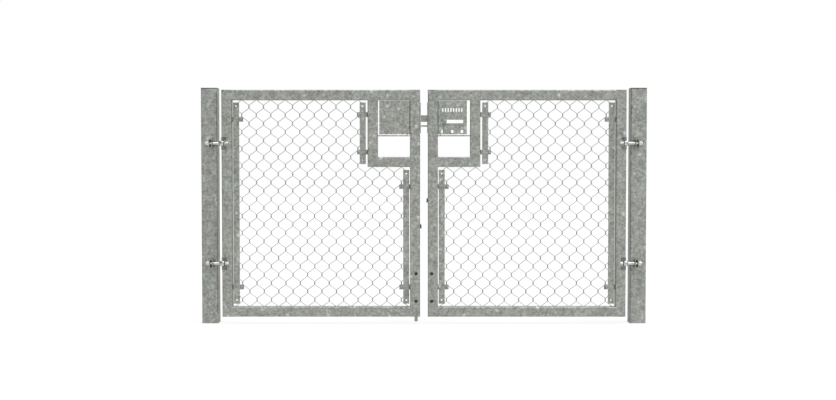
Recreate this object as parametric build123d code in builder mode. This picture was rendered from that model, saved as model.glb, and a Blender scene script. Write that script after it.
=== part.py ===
from build123d import *
import math
import os

# Double chain link gate of galvanised square tube, in millimetres.
# X runs from the left post to the right post, Y into the picture, Z up.
# The origin is the centre of the left post's foot, at ground level.

os.makedirs("parts", exist_ok=True)

# Posts
post_width = 80
post_wall = 3
post_corner = 6
post_height = 1170
foot_plate = 4
cap_thickness = 4
cap_skirt_depth = 20
cap_skirt_wall = 2
cap_clearance = 0.5

# Opening between the posts and the gaps round the leaves
clear_opening = 2050
centre_gap = 38
hinge_gap = 27
ground_gap = 37
leaf_height = 1121
leaf_forward = 15

# Frame tube of the leaves
tube = 50
tube_wall = 2.5
tube_corner = 5
end_plate = 2.5

# Lock frame in the upper meeting corner
lock_clear_width = 159
lock_clear_height = 280
floor_drop = 223
floor_thickness = 5
floor_inset = 5

# Hinges: the eye bolt is fixed on the post, the pin stands in a pocket of the leaf
hinge_from_end = 263
hinge_inset = 1
rod_diameter = 16
rod_past_nut = 6
eye_diameter = 33
eye_height = 25
eye_clearance = 0.3
pin_diameter = 12
pin_running_gap = 0.05
pocket_half_height = 31
pocket_depth = 24
pocket_plate = 5
eye_pocket_half_height = 13.5
eye_pocket_depth = 19
block_depth = 28
block_web = 16
block_eye_gap = 2
upper_arm_reach = 4
upper_arm_end_reach = -1
lower_arm_reach = 2.5
lower_arm_end_reach = 1.5

# Brackets on the fronts of the posts
bracket_width = 42
bracket_height = 70
bracket_thickness = 2.5
bracket_inset = 17
cup_width = 18
cup_height = 43
cup_rise = 28
cup_wall = 3
cup_hole_gap = 0.25
nut_flats = 24
nut_thickness = 13

# Slide bolt across the gap, and the plates it passes through
upper_bar_drop = 124.5
upper_bar_height = 33
lower_bar_drop = 173.5
lower_bar_height = 8
bar_thickness = 8
bar_slot_gap = 1.5
bar_guide_gap = 0.3
bar_tip_gap = 1.2
carriage_from_stile = 25
carriage_width = 13
carriage_above_bar = 3
carriage_height = 92
forend_thickness = 3
forend_width = 30
forend_height = 150
forend_chamfer = 1.5
forend_drop = 62.5

# Lock covers
cover_thickness = 2.5
cover_recess = 1
cover_top_gap = 3
cover_height = 166
cover_stile_gap = 3
left_cover_gap = 8
right_cover_gap = 16.5
cover_flange = 14
strip_setback = 6
foot_from_stile = 10
foot_width = 5
foot_overlap = 14
knob_slot_length = 107
knob_slot_height = 17
knob_slot_corner = 4
knob_slot_near = 17
knob_slot_drop = 156
neck_diameter = 10
neck_from_slot_end = 13.5
knob_diameter = 26
knob_length = 15
knob_round = 3
knob_gap = 2
padlock_hole_width = 13.5
padlock_hole_height = 16.5
padlock_hole_drop = 205
padlock_hole_pitch = 47.5
perforation_count = 8
perforation_width = 6
perforation_height = 20
perforation_pitch = 13.4
perforation_drop = 99.5

# Drop bolts inside the meeting stiles
drop_rod_diameter = 16
drop_rod_length = 640
drop_rod_from_edge = 20
drop_bore_gap = 0.8
drop_foot_height = 12
drop_travel = 129
stem_height = 14
stem_width = 8
stem_slot_gap = 2
stem_above_foot = 466
handle_gap = 1.5
handle_top = 4
handle_bottom = 6.5
handle_height = 23
handle_width = 16
guide_height = 30
guide_clearance = 0.5
guide_low = 77.5
guide_high = 214
plug_diameter = 14
plug_proud = 1.5

# Chain link panels and the flat bars they are stretched between
wire = 3
mesh_cell_width = 71.7
mesh_cell_height = 83.14
mesh_first_row_drop = 82.5
mesh_hinge_inset = 6.6
mesh_lock_inset = 3.7
mesh_meeting_inset = 3.1
edge_bar_width = 30
edge_bar_thickness = 5
hinge_bar_gap = 5
lock_bar_gap = 9.5
meeting_bar_gap = 4
bar_mesh_gap = 0.3
top_bar_gap = 11.5
meeting_bar_top_gap = 14
bottom_bar_gap = 13
bar_hole = 8
bar_hole_from_end = 18.5
lock_bar_length = 304

# Clamps that hold the flat bars to the tubes
clamp_height = 23
clamp_metal = 2.5
clamp_length = 53
clamp_bolt_diameter = 8
clamp_bolt_from_end = 8
clamp_bolt_gap = 0.5
clamp_head_diameter = 14
clamp_head_thickness = 5
clamp_from_bar_end = 83
lock_clamp_from_bar_end = 59.5

# Places that follow from the sizes above
left = -1
right = 1
gate_middle = post_width / 2 + clear_opening / 2
post_spacing = clear_opening + post_width
post_front = -post_width / 2
leaf_width = (clear_opening - centre_gap - 2 * hinge_gap) / 2
leaf_middle = post_front - leaf_forward
leaf_front = leaf_middle - tube / 2
leaf_back = leaf_middle + tube / 2
leaf_bottom = ground_gap
leaf_top = leaf_bottom + leaf_height

# Distances from the gate's middle, the same on both leaves
meeting_edge = centre_gap / 2
meeting_inner = meeting_edge + tube
lock_inner = meeting_inner + lock_clear_width
lock_outer = lock_inner + tube
hinge_edge = meeting_edge + leaf_width
hinge_inner = hinge_edge - tube
hinge_axis = hinge_edge - hinge_inset
forend_face = meeting_edge - forend_thickness
drop_axis = meeting_edge + drop_rod_from_edge

rail_underside = leaf_top - tube
bottom_rail_top = leaf_bottom + tube
lock_rail_top = rail_underside - lock_clear_height
lock_rail_low = lock_rail_top - tube
hinge_heights = (leaf_bottom + hinge_from_end, leaf_top - hinge_from_end)


def at(side, distance):
    """X of a point at a distance from the gate's middle, on the left or right side."""
    return gate_middle + side * distance


def block(side, near, far, front, back, low, high, mode=Mode.ADD):
    """Straight block between two distances from the gate's middle, two depths and two heights."""
    centre = (at(side, (near + far) / 2), (front + back) / 2, (low + high) / 2)
    with Locations(centre):
        Box(abs(far - near), back - front, high - low, mode=mode)


def square_tube(plane, length, width, wall, corner, start_plate=0, far_plate=0):
    """Square tube with rounded corners that starts on the plane, open or closed at each end."""
    with BuildSketch(plane) as outline:
        RectangleRounded(width, width, corner)
    extrude(outline.sketch, amount=length)
    with BuildSketch(plane.offset(start_plate)) as hollow:
        RectangleRounded(width - 2 * wall, width - 2 * wall, corner - wall)
    extrude(hollow.sketch, amount=length - start_plate - far_plate, mode=Mode.SUBTRACT)


def upright(side, distance, low):
    """Plane at the foot of an upright tube of a leaf."""
    return Plane(origin=(at(side, distance), leaf_middle, low), z_dir=(0, 0, 1))


def across(distance, height):
    """Plane at the left end of a level tube; distance is from the gate's middle, with its sign."""
    return Plane(origin=(gate_middle + distance, leaf_middle, height), z_dir=(1, 0, 0))


def rod(start, direction, diameter, length, mode=Mode.ADD):
    """Round bar from a start point along a direction."""
    with BuildSketch(Plane(origin=start, z_dir=direction)) as section:
        Circle(diameter / 2)
    extrude(section.sketch, amount=length, mode=mode)


def keep(piece, name):
    """Labels a finished piece and writes it to its file."""
    piece.part.label = name
    export_step(piece.part, f"parts/{name}.step")


# Posts: square tubes with a welded foot plate, closed at the top by a flat cap with a skirt
def make_post(centre_x, name):
    with BuildPart() as post:
        foot = Plane(origin=(centre_x, 0, 0), z_dir=(0, 0, 1))
        square_tube(foot, post_height - cap_thickness, post_width, post_wall, post_corner, foot_plate)
    keep(post, name)


def make_caps():
    skirt_width = post_width - 2 * (post_wall + cap_clearance)
    skirt_hollow = skirt_width - 2 * cap_skirt_wall
    cap_low = post_height - cap_thickness
    with BuildPart() as caps:
        with BuildSketch(Plane.XY.offset(cap_low)) as top:
            with Locations((0, 0), (post_spacing, 0)):
                RectangleRounded(post_width, post_width, post_corner)
        extrude(top.sketch, amount=cap_thickness)
        with BuildSketch(Plane.XY.offset(cap_low)) as skirt:
            with Locations((0, 0), (post_spacing, 0)):
                RectangleRounded(skirt_width, skirt_width, post_corner - post_wall)
                Rectangle(skirt_hollow, skirt_hollow, mode=Mode.SUBTRACT)
        extrude(skirt.sketch, amount=-cap_skirt_depth)
    keep(caps, "post_caps")


# Hinge brackets: a plate on the post's front with an open cup that the eye bolt passes through
bracket_near = clear_opening / 2 + bracket_inset
cup_near = bracket_near + cup_wall
cup_far = cup_near + cup_width
cup_front = post_front - bracket_thickness - cup_rise
nut_far = cup_far + nut_thickness


def make_brackets(side, name):
    plate_front = post_front - bracket_thickness
    hole = rod_diameter + 2 * cup_hole_gap
    with BuildPart() as brackets:
        for height in hinge_heights:
            low = height - cup_height / 2
            high = height + cup_height / 2
            block(side, bracket_near, bracket_near + bracket_width, plate_front, post_front,
                  height - bracket_height / 2, height + bracket_height / 2)
            block(side, cup_near, cup_far, cup_front, plate_front, low, high)
            block(side, cup_near + cup_wall, cup_far - cup_wall, cup_front, plate_front,
                  low + cup_wall, high - cup_wall, Mode.SUBTRACT)
            rod((at(side, cup_near), leaf_middle, height), (side, 0, 0), hole, cup_width, Mode.SUBTRACT)
    keep(brackets, name)


# Eye bolts: a threaded rod with an eye forged on the end, standing level in front of the post
def make_eye_bolts(side, name):
    with BuildPart() as bolts:
        for height in hinge_heights:
            axis = at(side, hinge_axis)
            rod((axis, leaf_middle, height - eye_height / 2), (0, 0, 1), eye_diameter, eye_height)
            rod((axis, leaf_middle, height), (side, 0, 0), rod_diameter, nut_far + rod_past_nut - hinge_axis)
            bore = pin_diameter + 2 * pin_running_gap
            rod((axis, leaf_middle, height - eye_height / 2), (0, 0, 1), bore, eye_height, Mode.SUBTRACT)
    keep(bolts, name)


def make_hinge_nuts(side, name):
    with BuildPart() as nuts:
        for height in hinge_heights:
            seat = Plane(origin=(at(side, cup_far), leaf_middle, height), z_dir=(side, 0, 0))
            with BuildSketch(seat) as hexagon:
                RegularPolygon(nut_flats / 2, 6, major_radius=False)
                Circle(rod_diameter / 2, mode=Mode.SUBTRACT)
            extrude(hexagon.sketch, amount=nut_thickness)
    keep(nuts, name)


# Hinge stile: cut open at the front and outer side for the eye of each bolt, and a little deeper
# above and below it
def make_hinge_stile(side, name):
    with BuildPart() as stile:
        square_tube(upright(side, hinge_edge - tube / 2, leaf_bottom), leaf_height, tube, tube_wall,
                    tube_corner, end_plate, end_plate)
        for height in hinge_heights:
            for depth, low, high in (
                (pocket_depth, -pocket_half_height, -eye_pocket_half_height),
                (eye_pocket_depth, -eye_pocket_half_height, eye_pocket_half_height),
                (pocket_depth, eye_pocket_half_height, pocket_half_height),
            ):
                block(side, hinge_edge - depth, hinge_edge + 1, leaf_front - 1, leaf_back - tube_wall,
                      height + low, height + high, Mode.SUBTRACT)
    keep(stile, name)


# Hinge pockets: plates welded inside the stile above and below each pocket
def make_hinge_pockets(side, name):
    with BuildPart() as plates:
        for height in hinge_heights:
            for low in (height - pocket_half_height - pocket_plate, height + pocket_half_height):
                with BuildSketch(upright(side, hinge_edge - tube / 2, low)) as plate:
                    inner = tube - 2 * tube_wall
                    RectangleRounded(inner, inner, tube_corner - tube_wall)
                extrude(plate.sketch, amount=pocket_plate)
    keep(plates, name)


# Hinge pins: each stands between the arms of a C-shaped block that fills the pocket behind the eye
def make_hinge_pins(side, name):
    arm = eye_height / 2 + eye_clearance
    web_face = hinge_axis - eye_diameter / 2 - block_eye_gap
    web_back = web_face - block_web
    with BuildPart() as pins:
        for height in hinge_heights:
            front = Plane(origin=(gate_middle, leaf_middle + block_depth / 2, height), x_dir=(1, 0, 0),
                          z_dir=(0, -1, 0))
            with BuildSketch(front) as outline:
                with BuildLine():
                    Polyline(
                        (side * web_back, -pocket_half_height),
                        (side * (hinge_edge + lower_arm_end_reach), -pocket_half_height),
                        (side * (hinge_edge + lower_arm_reach), -arm),
                        (side * web_face, -arm),
                        (side * web_face, arm),
                        (side * (hinge_edge + upper_arm_reach), arm),
                        (side * (hinge_edge + upper_arm_end_reach), pocket_half_height),
                        (side * web_back, pocket_half_height),
                        close=True,
                    )
                make_face()
            extrude(outline.sketch, amount=block_depth)
            rod((at(side, hinge_axis), leaf_middle, height - pocket_half_height), (0, 0, 1), pin_diameter,
                2 * pocket_half_height)
    keep(pins, name)


# Rails and the upright of the lock frame
def make_rail(near, far, low, side, name):
    start = min(side * near, side * far)
    with BuildPart() as rail:
        square_tube(across(start, low + tube / 2), abs(far - near), tube, tube_wall, tube_corner)
    keep(rail, name)


def make_lock_stile(side, name):
    with BuildPart() as stile:
        square_tube(upright(side, lock_inner + tube / 2, lock_rail_low), rail_underside - lock_rail_low,
                    tube, tube_wall, tube_corner, end_plate)
    keep(stile, name)


def make_lock_floor(side, name):
    with BuildPart() as floor:
        block(side, meeting_inner, lock_inner, leaf_front + floor_inset, leaf_back - floor_inset,
              leaf_top - floor_drop - floor_thickness, leaf_top - floor_drop)
    keep(floor, name)


# Meeting stile: slots for the slide bolt, for the drop bolt's handle and for its rod
upper_bar_high = leaf_top - upper_bar_drop
upper_bar_low = upper_bar_high - upper_bar_height
lower_bar_high = leaf_top - lower_bar_drop
lower_bar_low = lower_bar_high - lower_bar_height
stem_low = drop_foot_height + stem_above_foot
guide_heights = (leaf_bottom + guide_low, leaf_bottom + guide_high)


def cut_bar_slots(side, near, far, gap):
    """Cuts the two slots that the slide bolt's bars pass through, with a gap all round."""
    half_depth = bar_thickness / 2 + gap
    for low, high in ((upper_bar_low, upper_bar_high), (lower_bar_low, lower_bar_high)):
        block(side, near, far, leaf_middle - half_depth, leaf_middle + half_depth,
              low - gap, high + gap, Mode.SUBTRACT)


def make_meeting_stile(side, name):
    slot_far = meeting_inner + 1 if side == right else meeting_edge + tube_wall + 1
    stem_half = stem_width / 2 + stem_slot_gap
    with BuildPart() as stile:
        square_tube(upright(side, meeting_edge + tube / 2, leaf_bottom), leaf_height, tube, tube_wall,
                    tube_corner, end_plate, end_plate)
        cut_bar_slots(side, meeting_edge - 1, slot_far, bar_slot_gap)
        block(side, meeting_edge - 1, meeting_edge + tube_wall + 1, leaf_middle - stem_half,
              leaf_middle + stem_half, stem_low - stem_slot_gap,
              stem_low + stem_height + drop_travel + stem_slot_gap, Mode.SUBTRACT)
        rod((at(side, drop_axis), leaf_middle, leaf_bottom - 1), (0, 0, 1),
            drop_rod_diameter + 2 * drop_bore_gap, end_plate + 2, Mode.SUBTRACT)
        for height in guide_heights:
            rod((at(side, drop_axis), leaf_front - 1, height), (0, 1, 0), plug_diameter,
                tube_wall + 2, Mode.SUBTRACT)
    keep(stile, name)


# Forend plates: screwed on the edges of the meeting stiles, with the bolt's slots through them
def make_forend(side, name):
    high = leaf_top - forend_drop
    with BuildPart() as forend:
        block(side, forend_face, meeting_edge, leaf_middle - forend_width / 2,
              leaf_middle + forend_width / 2, high - forend_height, high)
        outer = forend.faces().sort_by(Axis.X)[-1 if side == left else 0]
        chamfer(outer.edges().filter_by(Axis.Y), forend_chamfer)
        cut_bar_slots(side, forend_face - 1, meeting_edge + 1,
                      bar_guide_gap if side == right else bar_slot_gap)
    keep(forend, name)


# Lock covers: plates over the lock frame's upper part, turned back along the stile
cover_top = rail_underside - cover_top_gap
cover_bottom = cover_top - cover_height
cover_front = leaf_front + cover_recess
cover_back = cover_front + cover_thickness
cover_near = meeting_inner + cover_stile_gap
flange_back = cover_back + cover_flange
foot_near = meeting_inner + foot_from_stile
knob_slot_left = meeting_inner + knob_slot_near
knob_slot_middle = leaf_top - knob_slot_drop
knob_rest = knob_slot_left + neck_from_slot_end


def add_cover(side, far):
    """Plate with its turned back edge, a strip that joins it to the stile and a foot on the floor plate."""
    block(side, cover_near, far, cover_front, cover_back, cover_bottom, cover_top)
    block(side, cover_near, cover_near + cover_thickness, cover_back, flange_back, cover_bottom, cover_top)
    block(side, meeting_inner, cover_near, cover_back + strip_setback, flange_back, cover_bottom, cover_top)
    block(side, foot_near, foot_near + foot_width, cover_back, flange_back, leaf_top - floor_drop,
          cover_bottom + foot_overlap)


def make_left_cover():
    with BuildPart() as cover:
        add_cover(left, lock_inner - left_cover_gap)
    keep(cover, "left_lock_cover")


def make_right_cover():
    slot_centre = knob_slot_left + knob_slot_length / 2
    front = Plane(origin=(gate_middle, cover_front - 1, leaf_top), x_dir=(1, 0, 0), z_dir=(0, -1, 0))
    with BuildPart() as cover:
        add_cover(right, lock_inner - right_cover_gap)
        with BuildSketch(front) as openings:
            with Locations((slot_centre, -knob_slot_drop)):
                RectangleRounded(knob_slot_length, knob_slot_height, knob_slot_corner)
            with Locations((slot_centre, -padlock_hole_drop)):
                with GridLocations(padlock_hole_pitch, 1, 3, 1):
                    SlotOverall(padlock_hole_height, padlock_hole_width, rotation=90)
            with Locations((slot_centre, -perforation_drop)):
                with GridLocations(perforation_pitch, 1, perforation_count, 1):
                    SlotOverall(perforation_height, perforation_width, rotation=90)
        extrude(openings.sketch, amount=-(cover_thickness + 2), mode=Mode.SUBTRACT)
    keep(cover, "right_lock_cover")


# Slide bolt: two flat bars on a carriage, with a neck through the cover's slot to the knob
def make_slide_bolt():
    back = leaf_middle + bar_thickness / 2
    front = leaf_middle - bar_thickness / 2
    tip = -(forend_face - bar_tip_gap)
    near = meeting_inner + carriage_from_stile
    far = near + carriage_width
    top = upper_bar_high + carriage_above_bar
    neck_front = cover_front - knob_gap
    with BuildPart() as bolt:
        block(right, tip, near, front, back, upper_bar_low, upper_bar_high)
        block(right, tip, near, front, back, lower_bar_low, lower_bar_high)
        block(right, near, far, front, back, top - carriage_height, top)
        rod((at(right, knob_rest), neck_front, knob_slot_middle), (0, 1, 0), neck_diameter,
            front - neck_front)
    keep(bolt, "slide_bolt")
    with BuildPart() as knob:
        rod((at(right, knob_rest), neck_front, knob_slot_middle), (0, -1, 0), knob_diameter, knob_length)
        fillet(knob.edges().group_by(Axis.Y)[0], knob_round)
    keep(knob, "slide_knob")


# Drop bolts: round bars inside the meeting stiles; the left one is down, the right one is raised
def make_drop_bolt(side, lift, name):
    low = drop_foot_height + lift
    with BuildPart() as bolt:
        rod((at(side, drop_axis), leaf_middle, low), (0, 0, 1), drop_rod_diameter, drop_rod_length)
        block(side, meeting_edge - handle_gap, drop_axis, leaf_middle - stem_width / 2,
              leaf_middle + stem_width / 2, stem_low + lift, stem_low + lift + stem_height)
    keep(bolt, name)


def make_drop_handle(side, lift, name):
    middle = stem_low + lift + stem_height / 2
    back = meeting_edge - handle_gap
    low = middle - handle_height / 2
    high = middle + handle_height / 2
    profile_plane = Plane(origin=(0, leaf_middle + handle_width / 2, 0), x_dir=(1, 0, 0), z_dir=(0, -1, 0))
    with BuildPart() as handle:
        with BuildSketch(profile_plane) as wedge:
            with BuildLine():
                Polyline((at(side, back), low), (at(side, back - handle_bottom), low),
                         (at(side, back - handle_top), high), (at(side, back), high), close=True)
            make_face()
        extrude(wedge.sketch, amount=handle_width)
    keep(handle, name)


# Guides of the drop bolts: blocks inside the stile, each held by a plug through its front
def make_bolt_guides(side, name):
    inner = tube - 2 * tube_wall - 2 * guide_clearance
    with BuildPart() as guides:
        for height in guide_heights:
            with BuildSketch(upright(side, meeting_edge + tube / 2, height - guide_height / 2)) as section:
                RectangleRounded(inner, inner, tube_corner - tube_wall)
            extrude(section.sketch, amount=guide_height)
            rod((at(side, drop_axis), leaf_middle, height - guide_height / 2), (0, 0, 1),
                drop_rod_diameter + 2 * drop_bore_gap, guide_height, Mode.SUBTRACT)
            plug_back = leaf_middle - inner / 2
            rod((at(side, drop_axis), leaf_front - plug_proud, height), (0, 1, 0), plug_diameter,
                plug_back + plug_proud - leaf_front)
    keep(guides, name)


# Chain link panels: flat lattices of crossing wires, a tall one and one under the lock frame
hinge_bar = (hinge_inner - hinge_bar_gap - edge_bar_width, hinge_inner - hinge_bar_gap)
lock_bar = (lock_outer + lock_bar_gap, lock_outer + lock_bar_gap + edge_bar_width)
meeting_bar = (meeting_inner + meeting_bar_gap, meeting_inner + meeting_bar_gap + edge_bar_width)
hinge_column = hinge_bar[1] - mesh_hinge_inset
lock_column = lock_bar[0] + mesh_lock_inset
meeting_column = meeting_bar[0] + mesh_meeting_inset
row_step = mesh_cell_height / 2
tall_columns = round((hinge_column - lock_column) / (mesh_cell_width / 2))
short_columns = round((lock_column - meeting_column) / (mesh_cell_width / 2))


def make_mesh(side, outer, inner, columns, skipped, low, high, bolts, name):
    """Lattice between two columns of knuckles; skipped is the columns between the first one and outer.

    The wires go in a ring round each of the bolts that stand on them.
    """
    column_step = (outer - inner) / columns
    slope = math.hypot(column_step, row_step)
    half_width = column_step - wire / 2 * slope / row_step
    half_height = row_step - wire / 2 * slope / column_step
    first_row = leaf_top - mesh_first_row_drop
    row_count = math.ceil((first_row - low) / row_step) + 1
    cells = []
    for column in range(columns + 1):
        for row in range(-1, row_count):
            if (row + column + skipped) % 2:
                cells.append((side * (outer - column * column_step), first_row - row * row_step))
    front = Plane(origin=(gate_middle, leaf_middle - wire / 2, 0), x_dir=(1, 0, 0), z_dir=(0, -1, 0))
    with BuildPart() as mesh:
        with BuildSketch(front) as lattice:
            with Locations((side * (outer + inner) / 2, (low + high) / 2)):
                Rectangle(outer - inner, high - low)
            with Locations(*cells):
                Polygon((half_width, 0), (0, half_height), (-half_width, 0), (0, -half_height),
                        mode=Mode.SUBTRACT)
            for distance, height in bolts:
                with Locations((side * distance, height)):
                    Circle(clamp_bolt_diameter / 2 + clamp_bolt_gap + wire)
                    Circle(clamp_bolt_diameter / 2 + clamp_bolt_gap, mode=Mode.SUBTRACT)
        extrude(lattice.sketch, amount=-wire)
    keep(mesh, name)


# Flat bars: the panels' edges are stretched on them, a little in front of the wires
bar_back = leaf_middle - wire / 2 - bar_mesh_gap
bar_front = bar_back - edge_bar_thickness
bar_top = rail_underside - top_bar_gap
bar_foot = bottom_rail_top + bottom_bar_gap
lock_bar_foot = bar_top - lock_bar_length
meeting_bar_top = lock_rail_low - meeting_bar_top_gap


def make_bars(side, name):
    with BuildPart() as bars:
        for (near, far), low, high in (
            (hinge_bar, bar_foot, bar_top),
            (lock_bar, lock_bar_foot, bar_top),
            (meeting_bar, bar_foot, meeting_bar_top),
        ):
            block(side, near, far, bar_front, bar_back, low, high)
            for height in (low + bar_hole_from_end, high - bar_hole_from_end):
                rod((at(side, (near + far) / 2), bar_front - 1, height), (0, 1, 0), bar_hole,
                    edge_bar_thickness + 2, Mode.SUBTRACT)
    keep(bars, name)


# Bar clamps: a strap from the tube round the front and back of the bar, closed by a bolt beyond it;
# each place is the tube's face, the way the clamp points from it, and its height
bolt_reach = clamp_length - clamp_bolt_from_end
upper_lock_clamp = bar_top - lock_clamp_from_bar_end
clamp_places = (
    (hinge_inner, -1, bar_foot + clamp_from_bar_end),
    (hinge_inner, -1, bar_top - clamp_from_bar_end),
    (lock_outer, 1, lock_bar_foot + lock_clamp_from_bar_end),
    (lock_outer, 1, upper_lock_clamp),
    (meeting_inner, 1, bar_foot + clamp_from_bar_end),
    (meeting_inner, 1, meeting_bar_top - clamp_from_bar_end),
)


def add_clamp(side, face, away, height):
    """Clamp from a tube's face past the far edge of a bar; the mesh runs between its two straps."""
    reach = face + away * clamp_length
    bolt = at(side, face + away * bolt_reach)
    low = height - clamp_height / 2
    high = height + clamp_height / 2
    rear = 2 * leaf_middle - bar_front
    near, far = sorted((face, reach))
    foot_near, foot_far = sorted((face, face + away * clamp_metal))
    block(side, near, far, bar_front - clamp_metal, bar_front, low, high)
    block(side, near, far, rear, rear + clamp_metal, low, high)
    block(side, foot_near, foot_far, bar_front, rear, low, high)
    rod((bolt, bar_front - clamp_metal, height), (0, 1, 0), clamp_bolt_diameter,
        rear - bar_front + 2 * clamp_metal)
    rod((bolt, bar_front - clamp_metal, height), (0, -1, 0), clamp_head_diameter, clamp_head_thickness)
    rod((bolt, rear + clamp_metal, height), (0, 1, 0), clamp_head_diameter, clamp_head_thickness)


def make_clamps(side, name):
    with BuildPart() as clamps:
        for face, away, height in clamp_places:
            add_clamp(side, face, away, height)
    keep(clamps, name)


make_post(0, "left_post")
make_post(post_spacing, "right_post")
make_caps()
for side, word in ((left, "left"), (right, "right")):
    make_brackets(side, f"{word}_hinge_brackets")
    make_eye_bolts(side, f"{word}_eye_bolts")
    make_hinge_nuts(side, f"{word}_hinge_nuts")
    make_hinge_stile(side, f"{word}_hinge_stile")
    make_hinge_pockets(side, f"{word}_hinge_pockets")
    make_hinge_pins(side, f"{word}_hinge_pins")
    make_rail(meeting_inner, hinge_inner, rail_underside, side, f"{word}_top_rail")
    make_rail(meeting_inner, hinge_inner, leaf_bottom, side, f"{word}_bottom_rail")
    make_rail(meeting_inner, lock_inner, lock_rail_low, side, f"{word}_lock_rail")
    make_lock_stile(side, f"{word}_lock_stile")
    make_lock_floor(side, f"{word}_lock_floor")
    make_meeting_stile(side, f"{word}_meeting_stile")
    make_forend(side, f"{word}_forend_plate")
    make_mesh(side, hinge_column, lock_column, tall_columns, 0, bottom_rail_top, rail_underside,
              [(lock_outer + bolt_reach, upper_lock_clamp)], f"{word}_mesh_tall")
    make_mesh(side, lock_column, meeting_column, short_columns, tall_columns, bottom_rail_top, lock_rail_low,
              [], f"{word}_mesh_under_lock")
    make_bars(side, f"{word}_tension_bars")
    make_clamps(side, f"{word}_bar_clamps")
    make_bolt_guides(side, f"{word}_bolt_guides")
make_left_cover()
make_right_cover()
make_slide_bolt()
for side, lift, word in ((left, 0, "left"), (right, drop_travel, "right")):
    make_drop_bolt(side, lift, f"{word}_drop_bolt")
    make_drop_handle(side, lift, f"{word}_drop_handle")
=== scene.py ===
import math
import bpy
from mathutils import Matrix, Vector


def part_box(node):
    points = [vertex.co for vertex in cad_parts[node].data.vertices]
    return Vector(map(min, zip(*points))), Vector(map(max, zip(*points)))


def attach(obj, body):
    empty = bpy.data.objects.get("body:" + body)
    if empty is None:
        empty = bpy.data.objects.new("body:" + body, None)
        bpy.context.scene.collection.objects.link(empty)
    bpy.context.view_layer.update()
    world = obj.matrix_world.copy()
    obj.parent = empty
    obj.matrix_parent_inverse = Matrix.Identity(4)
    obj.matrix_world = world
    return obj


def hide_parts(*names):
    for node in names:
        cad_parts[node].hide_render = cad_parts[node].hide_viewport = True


bl_info = {
    "name": "Chain Link Double Gate",
    "version": (1, 0, 0),
    "blender": (4, 5, 0),
    "location": "3D View > Sidebar > Gate",
    "description": "Dresses a double chain link gate's frame with woven wire, fixings, welds and finishes",
    "category": "Object",
}

import bmesh
import bpy
from mathutils import Matrix, Vector

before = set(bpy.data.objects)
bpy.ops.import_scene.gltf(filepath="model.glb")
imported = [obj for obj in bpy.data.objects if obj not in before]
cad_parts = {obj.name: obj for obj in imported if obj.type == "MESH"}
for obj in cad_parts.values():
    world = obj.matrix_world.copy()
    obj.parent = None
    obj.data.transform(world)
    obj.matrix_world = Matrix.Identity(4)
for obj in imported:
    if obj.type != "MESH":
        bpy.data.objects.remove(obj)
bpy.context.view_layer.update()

MM = 0.001
SIDES = (("left", -1), ("right", 1))

# Places that the frame gives
POST_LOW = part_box("left_post")[0]
FAR_POST_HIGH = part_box("right_post")[1]
RAIL_LOW, RAIL_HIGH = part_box("left_top_rail")
FOOT_RAIL_LOW, FOOT_RAIL_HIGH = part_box("left_bottom_rail")
LOCK_RAIL_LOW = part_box("left_lock_rail")[0]
STILE_LOW, STILE_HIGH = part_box("right_meeting_stile")
HINGE_STILE_LOW, HINGE_STILE_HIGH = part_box("right_hinge_stile")
LOCK_STILE_LOW, LOCK_STILE_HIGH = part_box("right_lock_stile")
EYES_LOW, EYES_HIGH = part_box("left_eye_bolts")
BRACKET_LOW, BRACKET_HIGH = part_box("right_hinge_brackets")
NUTS_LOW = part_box("right_hinge_nuts")[0]
FOREND_LOW, FOREND_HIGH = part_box("right_forend_plate")
KNOB_LOW, KNOB_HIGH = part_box("slide_knob")
BARS_LOW, BARS_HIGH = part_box("right_tension_bars")
GATE_MIDDLE = (POST_LOW.x + FAR_POST_HIGH.x) / 2
POST_FRONT = POST_LOW.y
LEAF_FRONT = RAIL_LOW.y
LEAF_MIDDLE = (LEAF_FRONT + RAIL_HIGH.y) / 2
TUBE = RAIL_HIGH.z - RAIL_LOW.z


def at(side, distance):
    """X of a point at a distance from the gate's middle, on the left or right side."""
    return GATE_MIDDLE + side * distance


def from_middle(x):
    """Distance of an X from the gate's middle."""
    return abs(x - GATE_MIDDLE)


# Sizes of the eye bolts and how far the axes lie inside the stiles' outer faces, in metres
EYE_HEIGHT = 25 * MM
ROD_RADIUS = 8 * MM
HINGE_INSET = 1 * MM
DROP_INSET = 20 * MM

# Heights of the hinges, and distances from the gate's middle
HINGE_HEIGHTS = (EYES_LOW.z + EYE_HEIGHT / 2, EYES_HIGH.z - EYE_HEIGHT / 2)
HINGE_AXIS = from_middle(HINGE_STILE_HIGH.x) - HINGE_INSET
ROD_END = from_middle(EYES_LOW.x)
NUT_SEAT = from_middle(NUTS_LOW.x)
MEETING_INNER = from_middle(STILE_HIGH.x)
LOCK_INNER = from_middle(LOCK_STILE_LOW.x)
LOCK_OUTER = from_middle(LOCK_STILE_HIGH.x)
HINGE_INNER = from_middle(HINGE_STILE_LOW.x)
FOREND_FACE = from_middle(FOREND_LOW.x)
BRACKET_MIDDLE = from_middle((BRACKET_LOW.x + BRACKET_HIGH.x) / 2)
DROP_AXIS = from_middle(STILE_LOW.x) + DROP_INSET


def at_hinges(side, distance, depth, angles=(0, 0, 0), rise=0):
    """Position and angles of a fixing at each hinge of a leaf."""
    return [((at(side, distance), depth, height + rise), angles) for height in HINGE_HEIGHTS]


def linear(code):
    """Linear colour of an sRGB hex code."""
    parts = (int(code[i:i + 2], 16) / 255 for i in (1, 3, 5))
    return tuple(p / 12.92 if p <= 0.04045 else ((p + 0.055) / 1.055) ** 2.4 for p in parts)


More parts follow.
